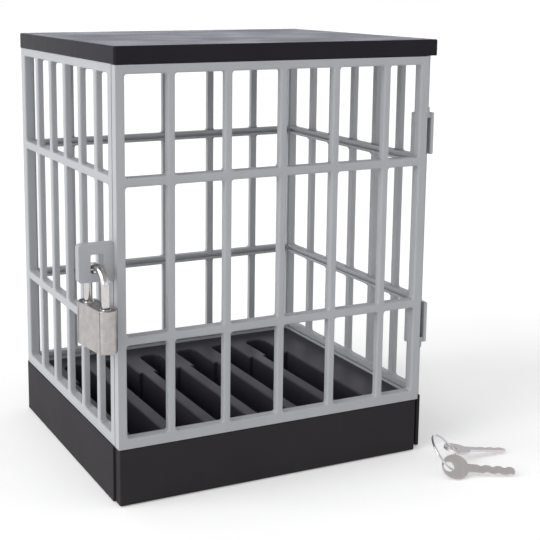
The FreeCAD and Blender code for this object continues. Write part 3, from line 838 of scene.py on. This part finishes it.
@dataclass
class Base:
    """The base: a shell open in front, its front panel and the slotted rack."""

    height: float = 31.8
    lift: float = 0.6
    gap: float = 0.3
    slot_first: float = 14.4
    slot_pitch: float = 25.6
    slot_width: float = 18.0
    slot_neck: float = 2.3
    slots: int = 6
    slot_rows: Point = (12.0, 109.5, 141.5)
    shell_columns: tuple[float, ...] = (0.0, 2.4, 6.2, 185.8, 189.6, 192.0)
    shell_rows: tuple[float, ...] = (5.3, 7.6, 156.8, 160.6, 163.0)
    ledge_depth: float = 2.5
    front_columns: tuple[float, ...] = (1.1, 3.5, 182.9, 185.3)
    front_rows: Point = (0.4, 2.8, 6.9)
    front_wall: float = 2.4
    rack_across: Span = (6.3, 185.7)
    rack_back: Span = (7.2, 156.7)
    rack_low: float = 5.0
    rack_floor: tuple[Point, Point] = ((6.4, 7.3, 3.0), (185.6, 156.6, 5.2))

    def make(self) -> None:
        """Build the three pieces and put them on the cage."""
        self.make_shell()
        self.make_front()
        self.make_rack()

    def make_shell(self) -> None:
        """Build the outer shell with its ledge."""
        _, left, left_ledge, right_ledge, right, _ = self.shell_columns
        _, lip, back_ledge, back, end = self.shell_rows

        def wall(point: Vector) -> bool:
            """Tell whether a cell is in one of the three walls or the right wall's lip."""
            if point.y < lip:
                return point.x > right
            return point.x < left or point.x > right or point.y > back

        def ledge(point: Vector) -> bool:
            """Tell whether a cell is in a wall or in the ledge inside it."""
            edge = point.x < left_ledge or point.x > right_ledge or point.y > back_ledge
            return wall(point) or (point.y > lip and edge)

        mesh = lattice(self.shell_columns, self.shell_rows, ledge)
        below = grow(mesh, mesh.faces[:], (0, 0, -self.ledge_depth))
        walls = [face for face in below if wall(face.calc_center_median())]
        grow(mesh, walls, (0, 0, self.lift + self.ledge_depth - self.height))
        bmesh.ops.translate(mesh, verts=mesh.verts[:], vec=(0, 0, self.height))
        tidy_normals(mesh)
        uprights = [edge for edge in sharp_edges(mesh, is_upright) if middle(edge).y > end - 0.1]
        soften(mesh, uprights, 1.6, 5)
        soften(mesh, sharp_edges(mesh, self.is_outer), 0.45)
        finish_piece("base_shell_dressed", mesh, BASE_BLACK, "cage", ["base_shell"])

    def is_outer(self, edge: Edge) -> bool:
        """Tell whether an edge is on the base's outside or at its open front."""
        centre = middle(edge)
        aside = centre.x < 0.01 or centre.x > self.shell_columns[-1] - 0.01
        return aside or centre.y > self.shell_rows[-1] - 0.01 or centre.y < self.shell_rows[1] + 0.1

    def make_front(self) -> None:
        """Build the front panel with its top and end walls."""
        _, left, right, _ = self.front_columns
        mesh = lattice(self.front_columns, self.front_rows, lambda point: True)
        below = grow(mesh, mesh.faces[:], (0, 0, -self.front_wall))
        walls = []
        for face in below:
            centre = face.calc_center_median()
            if centre.y < self.front_rows[1] or centre.x < left or centre.x > right:
                walls.append(face)
        top = self.height - self.gap
        grow(mesh, walls, (0, 0, self.lift + self.front_wall - top))
        bmesh.ops.translate(mesh, verts=mesh.verts[:], vec=(0, 0, top))
        tidy_normals(mesh)
        soften(mesh, sharp_edges(mesh), 0.5)
        finish_piece("base_front_dressed", mesh, BASE_BLACK, "cage", ["base_front_panel"])

    def in_slot(self, point: Vector) -> bool:
        """Tell whether a point of the rack's top is over a slot."""
        number = math.floor((point.x - self.slot_first) / self.slot_pitch)
        across = point.x - self.slot_first - number * self.slot_pitch
        if not 0 <= number < self.slots or across > self.slot_width:
            return False
        front, step, back = self.slot_rows
        if front < point.y < step:
            return True
        return step < point.y < back and self.slot_neck < across < self.slot_width - self.slot_neck

    def make_rack(self) -> None:
        """Build the rack with its six stepped slots and their floor."""
        columns = [self.rack_across[0]]
        for number in range(self.slots):
            left = self.slot_first + number * self.slot_pitch
            right = left + self.slot_width
            columns += [left, left + self.slot_neck, right - self.slot_neck, right]
        columns.append(self.rack_across[1])
        rows = (self.rack_back[0], *self.slot_rows, self.rack_back[1])
        mesh = lattice(columns, rows, lambda point: not self.in_slot(point))
        grow(mesh, mesh.faces[:], (0, 0, self.rack_low - self.height))
        bmesh.ops.translate(mesh, verts=mesh.verts[:], vec=(0, 0, self.height))
        tidy_normals(mesh)
        front, _, back = self.slot_rows
        for row, radius, steps in ((back, 4.0, 6), (front, 1.5, 4)):
            valleys = sharp_edges(mesh, is_upright, False)
            soften(mesh, [edge for edge in valleys if near(middle(edge).y, row)], radius, steps)

        def is_slot_rim(edge: Edge) -> bool:
            """Tell whether an edge of the rack's top is around or between the slots."""
            centre = middle(edge)
            inside = columns[1] - 0.5 < centre.x < columns[-2] + 0.5
            return inside and centre.z > self.height - 0.01 and front - 0.5 < centre.y < back + 0.5

        soften(mesh, sharp_edges(mesh, is_slot_rim), 0.9, 4)
        add_block(mesh, *self.rack_floor, 0.2)
        finish_piece("rack_dressed", mesh, RACK_BLACK, "cage", ["slotted_rack"])


@dataclass
class Padlock:
    """The padlock: a round-ended case with a bevelled rim, a shackle, a plug and collars."""

    place: Point = (-9.0, 4.0, 110.0)
    turn: float = 8.0
    half: float = 10.1
    thickness: float = 10.6
    height: float = 22.2
    spread: float = 9.3
    rod: float = 2.2
    rise: float = 10.2
    legs: Span = (6.0, 11.0)
    rim: float = 0.9
    collar: Span = (2.3, 3.1)
    side_steps: tuple[Span, ...] = ((0.22, -0.16), (0.22, 0.0), (0.3, 0.14))
    side_area: float = 100.0
    hole_depth: float = 6.2
    sink: float = 0.5
    plug_hole: Span = (3.75, 9.1)
    facets: int = 64
    collar_height: float = 0.35

    def stand(self, mesh: Mesh) -> None:
        """Hang a mesh drawn about the case's top in the hasp."""
        turn = Matrix.Rotation(math.radians(self.turn), 4, "Z")
        bmesh.ops.transform(mesh, matrix=Matrix.Translation(self.place) @ turn, verts=mesh.verts[:])

    def make(self) -> None:
        """Build the padlock's pieces and put them on their bodies."""
        self.make_case()
        self.make_collars()
        self.make_shackle()

    def outline(self) -> Mesh:
        """Make the case's flat round-ended outline.

        Returns:
            The filled outline at z = 0.
        """
        mesh = bmesh.new()
        bmesh.ops.create_circle(mesh, cap_ends=True, segments=self.facets, radius=self.thickness / 2)
        half_facet = Matrix.Rotation(math.pi / self.facets, 3, "Z")
        bmesh.ops.rotate(mesh, verts=mesh.verts[:], matrix=half_facet)
        for side in (-1, 1):
            ends = [corner for corner in mesh.verts if corner.co.y * side > 0]
            bmesh.ops.translate(mesh, verts=ends, vec=(0, side * self.half, 0))
        return mesh

    def make_case(self) -> None:
        """Build the case: body, rim, sunk top with the shackle's holes, and the plug's hole."""
        mesh = self.outline()
        grow(mesh, mesh.faces[:], (0, 0, -self.height))
        tidy_normals(mesh)
        self.raise_sides(mesh)
        top = self.end_face(mesh, 1)
        bmesh.ops.inset_region(mesh, faces=[top], thickness=self.rim, use_even_offset=True)
        sunk = grow(mesh, [top], (0, 0, -self.sink))
        places = [(0.0, side * self.spread, -self.sink) for side in (-1, 1)]
        holes = self.drill(mesh, sunk[0], places, self.collar[0], -self.hole_depth)
        for face in holes:
            face.material_index = 1
        below = self.end_face(mesh, -1)
        self.drill(mesh, below, [(0.0, 0.0, -self.height)], *self.plug_hole)
        tidy_normals(mesh)
        soften(mesh, sharp_edges(mesh, lambda edge: not is_upright(edge)), 0.3, 3)
        self.stand(mesh)
        finish_piece(
            "padlock_case_dressed", mesh, SATIN_NICKEL, "lock", ["padlock_case"],
            second=LOCK_RECESS,
        )

    def end_face(self, mesh: Mesh, side: int) -> Face:
        """Give the case's whole top (side 1) or bottom (side -1) face."""
        flat = [face for face in mesh.faces if face.normal.z * side > 0.9 and len(face.verts) > 20]
        return max(flat, key=lambda face: face.calc_area())

    def drill(
        self, mesh: Mesh, face: Face, places: Sequence[Point], radius: float, depth: float
    ) -> list[Face]:
        """Sink round blind holes into one level face.

        Args:
            mesh: the case.
            face: the face that gets the holes.
            places: the holes' middles, on the face.
            radius: their radius.
            depth: how far they go along z.

        Returns:
            The face's new parts and the holes' walls and floors.
        """
        before = set(mesh.faces)
        before.discard(face)
        border = list(face.edges)
        up = face.normal.copy()
        bmesh.ops.delete(mesh, geom=[face], context="FACES_ONLY")
        holes = []
        for place in places:
            loop = bmesh.ops.create_circle(
                mesh, cap_ends=False, segments=32, radius=radius, matrix=Matrix.Translation(place)
            )["verts"]
            holes.append(list({edge for corner in loop for edge in corner.link_edges}))
        rims = [edge for hole in holes for edge in hole]
        bmesh.ops.triangle_fill(mesh, use_beauty=True, edges=border + rims, normal=up)
        for hole in holes:
            draw_out(mesh, hole, (0, 0, depth))
        return [made for made in mesh.faces if made not in before]

    def raise_sides(self, mesh: Mesh) -> None:
        """Set each flat side off from the round ends by a fine groove and a bevel.

        Args:
            mesh: the case's body, its sides still plain.
        """
        sides = [
            face for face in mesh.faces
            if abs(face.normal.x) > 0.999 and face.calc_area() > self.side_area
        ]
        for inset, step in self.side_steps:
            for side in sides:
                bmesh.ops.inset_individual(
                    mesh, faces=[side], thickness=inset, depth=step, use_even_offset=True,
                )

    def make_collars(self) -> None:
        """Build the bright collars round the shackle's legs."""
        collars = bmesh.new()
        for side in (-1, 1):
            ring = bmesh.new()
            bmesh.ops.create_circle(ring, cap_ends=False, segments=40, radius=self.collar[1])
            made = bmesh.ops.extrude_edge_only(ring, edges=ring.edges[:])["geom"]
            shrink = self.collar[0] / self.collar[1]
            bmesh.ops.scale(ring, verts=only(made, Vert), vec=(shrink, shrink, 1.0))
            grow(ring, ring.faces[:], (0, 0, self.collar_height))
            tidy_normals(ring)
            rim = self.collar_height - 0.05
            soften(ring, sharp_edges(ring, lambda edge: middle(edge).z > rim), 0.12, 2)
            bmesh.ops.translate(ring, verts=ring.verts[:], vec=(0, side * self.spread, -self.sink))
            absorb(collars, ring)
        self.stand(collars)
        finish_piece("padlock_collars", collars, POLISHED_CHROME, "lock")

    def make_shackle(self) -> None:
        """Build the shackle by spinning its round section over the arch."""
        mesh = bmesh.new()
        start = Matrix.Translation((0, -self.spread, self.rise))
        section = bmesh.ops.create_circle(
            mesh, cap_ends=False, segments=28, radius=self.rod, matrix=start,
        )["verts"]
        edges = mesh.edges[:]
        last = bmesh.ops.spin(
            mesh, geom=section + edges, cent=(0, 0, self.rise), axis=(1, 0, 0),
            angle=-math.pi, steps=36, use_duplicate=False, use_merge=False,
        )["geom_last"]
        for loop, length in zip((edges, only(last, Edge)), self.legs):
            draw_out(mesh, loop, (0, 0, -self.rise - length))
        tidy_normals(mesh)
        soften(mesh, sharp_edges(mesh), 0.4, 3)
        self.stand(mesh)
        finish_piece(
            "padlock_shackle_dressed", mesh, POLISHED_CHROME, "shackle",
            ["padlock_shackle"],
        )


@dataclass
class Keys:
    """The two keys and their ring, lying beside the box."""

    bevel: float = 0.00025
    nodes: tuple[str, ...] = ("first_key", "second_key")

    def make(self) -> None:
        """Build the keys from their solids with rounded edges; the ring keeps its solid."""
        for node in self.nodes:
            mesh = softened_copy(node, self.bevel, 2)
            finish_piece(node + "_dressed", mesh, KEY_NICKEL, "keys", [node], in_row=True)


@dataclass
class KeptSolids:
    """The solids whose own shapes are shown, each with its finish."""

    finishes: dict[str, Finish] = field(default_factory=lambda: {
        "base_floor": LINER_BLACK,
        "lid_liner": LINER_BLACK,
        "padlock_plug": TURNED_BRASS,
        "padlock_bolt": DRAWN_STEEL,
        "padlock_spring": DRAWN_STEEL,
        "key_ring": RING_CHROME,
        "upper_hinge_pin": DRAWN_STEEL,
        "lower_hinge_pin": DRAWN_STEEL,
        **{"lid_screw_%d" % number: DARK_ZINC for number in range(1, 5)},
        **{"base_screw_%d" % number: DARK_ZINC for number in range(1, 5)},
    })

    def make(self) -> None:
        """Give every kept solid its material."""
        for node, finish in self.finishes.items():
            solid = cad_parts[node]
            material = FINISHES.get(finish)
            if not solid.material_slots:
                solid.data.materials.append(material)
            for slot in solid.material_slots:
                slot.material = material
            LOG.info("%s keeps its solid with %s", node, finish.name)


# studio


@dataclass
class Studio:
    """The pale floor, the plain light and the camera at the photograph's angle."""

    eye: Point = (-0.2989, -0.6213, 0.2706)
    ahead: Point = (0.4177, 0.8919, -0.1731)
    right: Point = (0.9058, -0.4236, 0.0031)
    lens: float = 78.33
    shift: Span = (0.118, -0.15)
    ambient: float = 0.60
    key: tuple[Point, float, float] = ((-0.90, -0.02, 0.42), 2.3, 55.0)
    fill: tuple[Point, float, float] = ((0.20, -0.60, 0.77), 0.35, 90.0)
    ceiling: tuple[tuple[float, Point], ...] = (
        (0.0, (0.95, 0.97, 1.08)), (0.28, (0.95, 0.97, 1.08)),
        (0.50, (0.34, 0.33, 0.34)), (1.0, (0.16, 0.16, 0.17)),
    )

    def make(self) -> None:
        """Set up floor, world, lamps and camera."""
        self.make_floor()
        self.make_world()
        for name, (towards, strength, spread) in (("key", self.key), ("fill", self.fill)):
            lamp = bpy.data.lights.new(name, "SUN")
            lamp.energy = strength
            lamp.angle = math.radians(spread)
            holder = bpy.data.objects.new(name, lamp)
            holder.rotation_mode = "QUATERNION"
            holder.rotation_quaternion = Vector(towards).to_track_quat("Z", "Y")
            bpy.context.scene.collection.objects.link(holder)
        self.make_camera()
        bpy.context.scene.view_settings.view_transform = "Standard"

    def glow(self, graph: Graph) -> Socket:
        """Give 1 where the camera, a reflection or a see-through ray looks, else 0."""
        rays = graph.add("ShaderNodeLightPath").outputs
        seen = self.larger(graph.tree, rays["Is Camera Ray"], rays["Is Glossy Ray"])
        return self.larger(graph.tree, seen, rays["Is Transmission Ray"])

    def larger(self, tree: bpy.types.NodeTree, first: Socket, second: Socket) -> Socket:
        """Give the larger of two values.

        Args:
            tree: the tree.
            first: one value.
            second: the other.

        Returns:
            The larger value's socket.
        """
        node = tree.nodes.new("ShaderNodeMath")
        node.operation = "MAXIMUM"
        tree.links.new(first, node.inputs[0])
        tree.links.new(second, node.inputs[1])
        return node.outputs[0]

    def make_floor(self) -> None:
        """Lay the pale floor, lifted to white for the camera but keeping the shadow."""
        mesh = bmesh.new()
        bmesh.ops.create_grid(mesh, x_segments=2, y_segments=2, size=12.0)
        data = bpy.data.meshes.new("floor")
        mesh.to_mesh(data)
        mesh.free()
        floor = bpy.data.objects.new("floor", data)
        bpy.context.scene.collection.objects.link(floor)
        graph = Graph("pale_floor")
        clouds = graph.noise(graph.place(), 3.0)
        graph.feed(graph.shader, "Base Color", graph.tint(clouds, (0.86, 0.86, 0.86), (0.88, 0.88, 0.88)))
        graph.feed(graph.shader, "Roughness", 0.9)
        graph.feed(graph.shader, "Specular IOR Level", 0.0)
        graph.feed(graph.shader, "Emission Color", (1.0, 1.0, 1.0, 1.0))
        lift = graph.add("ShaderNodeMapRange", Value=self.glow(graph), To_Min=0.0, To_Max=0.22)
        graph.feed(graph.shader, "Emission Strength", lift.outputs["Result"])
        data.materials.append(graph.material)

    def make_world(self) -> None:
        """Light evenly from all round; show white to the camera, and in reflections a dimmer ceiling."""
        world = bpy.data.worlds.new("studio")
        world.use_nodes = True
        bpy.context.scene.world = world
        tree = world.node_tree
        background = tree.nodes["Background"]
        rays = tree.nodes.new("ShaderNodeLightPath").outputs
        place = tree.nodes.new("ShaderNodeTexCoord")
        height = tree.nodes.new("ShaderNodeSeparateXYZ")
        ceiling = tree.nodes.new("ShaderNodeValToRGB")
        for stop, (position, colour) in zip(self.stops(ceiling.color_ramp), self.ceiling):
            stop.position = position
            stop.color = (*colour, 1.0)
        tree.links.new(place.outputs["Generated"], height.inputs["Vector"])
        tree.links.new(height.outputs["Z"], ceiling.inputs["Fac"])
        level = (self.ambient, self.ambient, self.ambient, 1.0)
        mirrored = self.mix(tree, rays["Is Glossy Ray"], level, ceiling.outputs["Color"])
        seen = self.larger(tree, rays["Is Camera Ray"], rays["Is Transmission Ray"])
        shown = self.mix(tree, seen, mirrored, (1.0, 1.0, 1.0, 1.0))
        tree.links.new(shown, background.inputs["Color"])

    def stops(self, ramp: bpy.types.ColorRamp) -> list[bpy.types.ColorRampElement]:
        """Give a ramp as many stops as the ceiling has colours."""
        while len(ramp.elements) < len(self.ceiling):
            ramp.elements.new(0.5)
        return list(ramp.elements)

    def mix(self, tree: bpy.types.NodeTree, factor: object, first: object, second: object) -> Socket:
        """Blend two colours in a node tree.

        Args:
            tree: the tree.
            factor: the socket that says how much of the second is shown.
            first: a colour or its socket.
            second: a colour or its socket.

        Returns:
            The blended colour's socket.
        """
        node = tree.nodes.new("ShaderNodeMix")
        node.data_type = "RGBA"
        # a colour mix takes its factor at 0 and its colours at 6 and 7, and gives the blend at 2
        for number, value in ((0, factor), (6, first), (7, second)):
            socket = node.inputs[number]
            if isinstance(value, Socket):
                tree.links.new(value, socket)
            else:
                socket.default_value = value
        return node.outputs[2]

    def make_camera(self) -> None:
        """Set the camera where the photograph was taken from."""
        data = bpy.data.cameras.new("camera")
        data.sensor_width = 36.0
        data.lens = self.lens
        data.shift_x, data.shift_y = self.shift
        data.clip_start, data.clip_end = 0.01, 100.0
        ahead = Vector(self.ahead).normalized()
        right = (Vector(self.right) - ahead * ahead.dot(Vector(self.right))).normalized()
        up = right.cross(ahead)
        turn = Matrix((right, up, -ahead)).transposed()
        camera = bpy.data.objects.new("camera", data)
        camera.matrix_world = Matrix.Translation(self.eye) @ turn.to_4x4()
        bpy.context.scene.collection.objects.link(camera)
        bpy.context.scene.camera = camera


def main() -> None:
    """Build the sub-assemblies in order, then the studio."""
    logging.basicConfig(level=logging.INFO, format="%(name)s: %(message)s")
    panels = (
        Door("door_grille", width=185.8, posts=(5.0, 5.0), bar_start=30.1, pitch=32.2, depth=5.2,
             origin=(0.5, 0.0), turn=0.0, body="door", top=230.7),
        HaspSide("left_grille", width=156.2, posts=(6.0, 6.0), bar_start=30.6, pitch=25.2, depth=5.4,
                 origin=(0.6, 162.4), turn=-90.0),
        HingeSide("right_grille", width=156.2, posts=(6.0, 6.0), bar_start=24.8, pitch=25.2, depth=5.4,
                  origin=(191.4, 6.2), turn=90.0),
        Grille("back_grille", width=180.0, posts=(1.0, 1.0), bar_start=26.6, pitch=32.2, depth=5.4,
               origin=(186.0, 162.4), turn=180.0),
    )
    for part in (*panels, Lid(), Base(), Padlock(), Keys(), KeptSolids(), Studio()):
        part.make()
        LOG.info("%s done", type(part).__name__)


if __name__ == "__main__":
    main()
